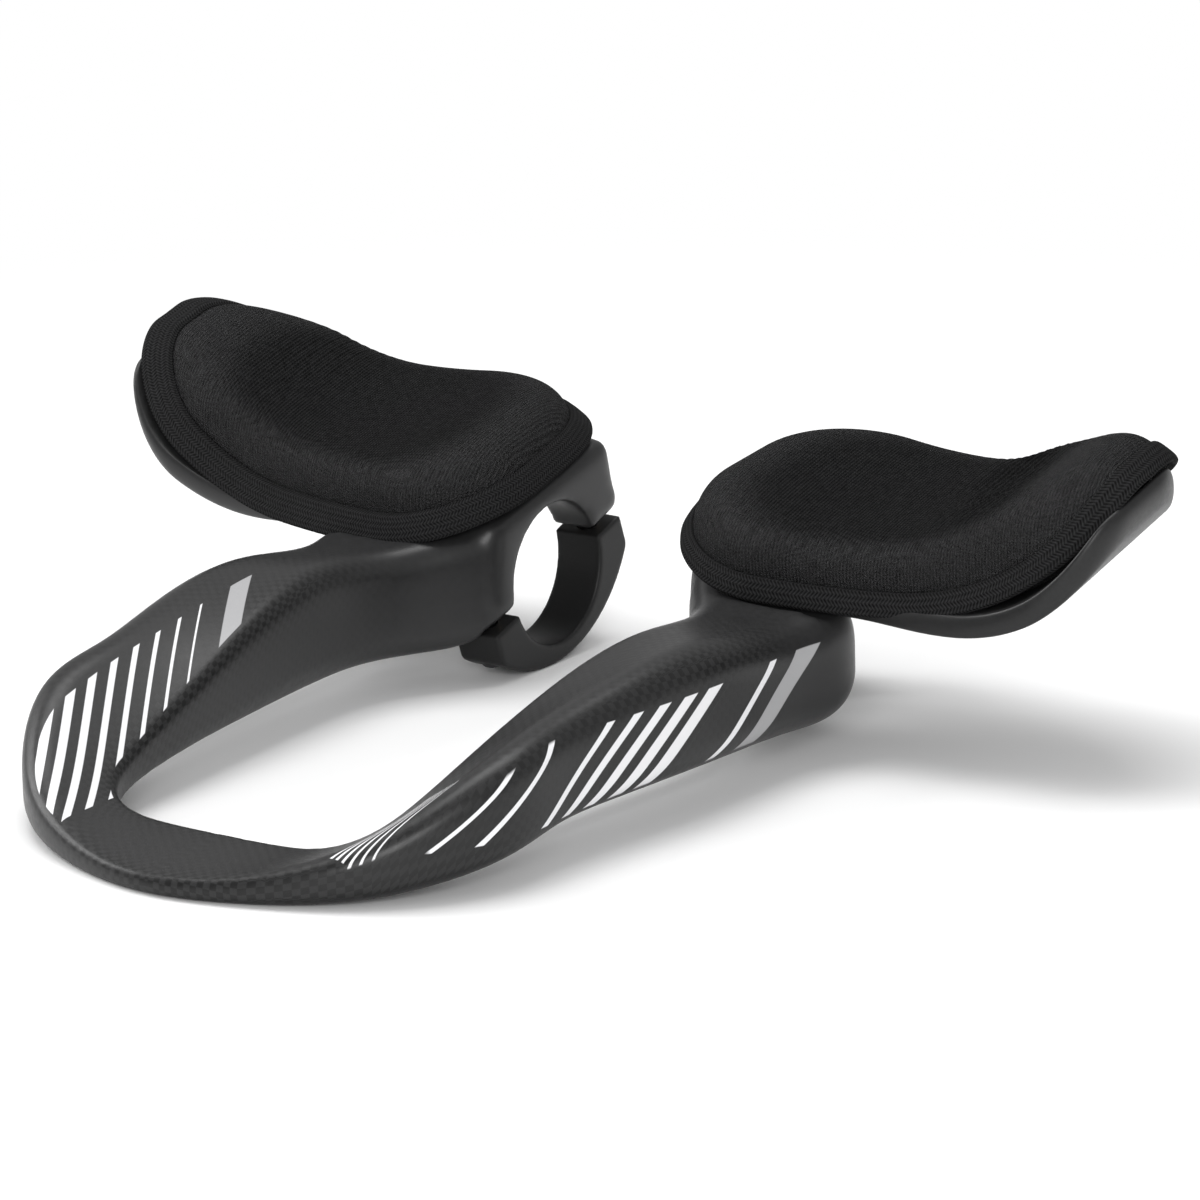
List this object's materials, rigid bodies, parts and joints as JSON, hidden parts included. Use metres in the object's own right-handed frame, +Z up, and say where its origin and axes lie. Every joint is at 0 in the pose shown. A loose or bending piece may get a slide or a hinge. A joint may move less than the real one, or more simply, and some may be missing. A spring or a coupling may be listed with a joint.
{
  "type": "clip-on aero bar",
  "caption": "Short U-shaped carbon aero extension that clamps onto a bicycle handlebar, with padded armrests on dished cups beside its arms.",
  "frame": {"origin": "on the handlebar clamp axis, midway between the two clamps", "axes": "+X right along the handlebar, +Y to the rear, +Z up as it lies on a table"},
  "size_m": [0.258, 0.2071, 0.0758],
  "materials": {
    "carbon": "satin",
    "cap": "matte",
    "cup": "satin",
    "steel": "satin",
    "brass": "satin",
    "knit": "matte",
    "binding": "matte",
    "hook": "matte"
  },
  "bodies": {
    "root": {"extension_bar": "carbon", "left_clamp_cap": "cap", "left_clamp_bolts": "steel", "left_clamp_inserts": "brass", "left_armrest_cup": "cup", "left_cup_bolts": "steel", "left_cup_washers": "steel", "left_cup_inserts": "brass", "left_pad_cushion": "knit", "left_pad_binding": "binding", "left_hook_patch": "hook", "right_clamp_cap": "cap", "right_clamp_bolts": "steel", "right_clamp_inserts": "brass", "right_armrest_cup": "cup", "right_cup_bolts": "steel", "right_cup_washers": "steel", "right_cup_inserts": "brass", "right_pad_cushion": "knit", "right_pad_binding": "binding", "right_hook_patch": "hook"}
  },
  "joints": []
}
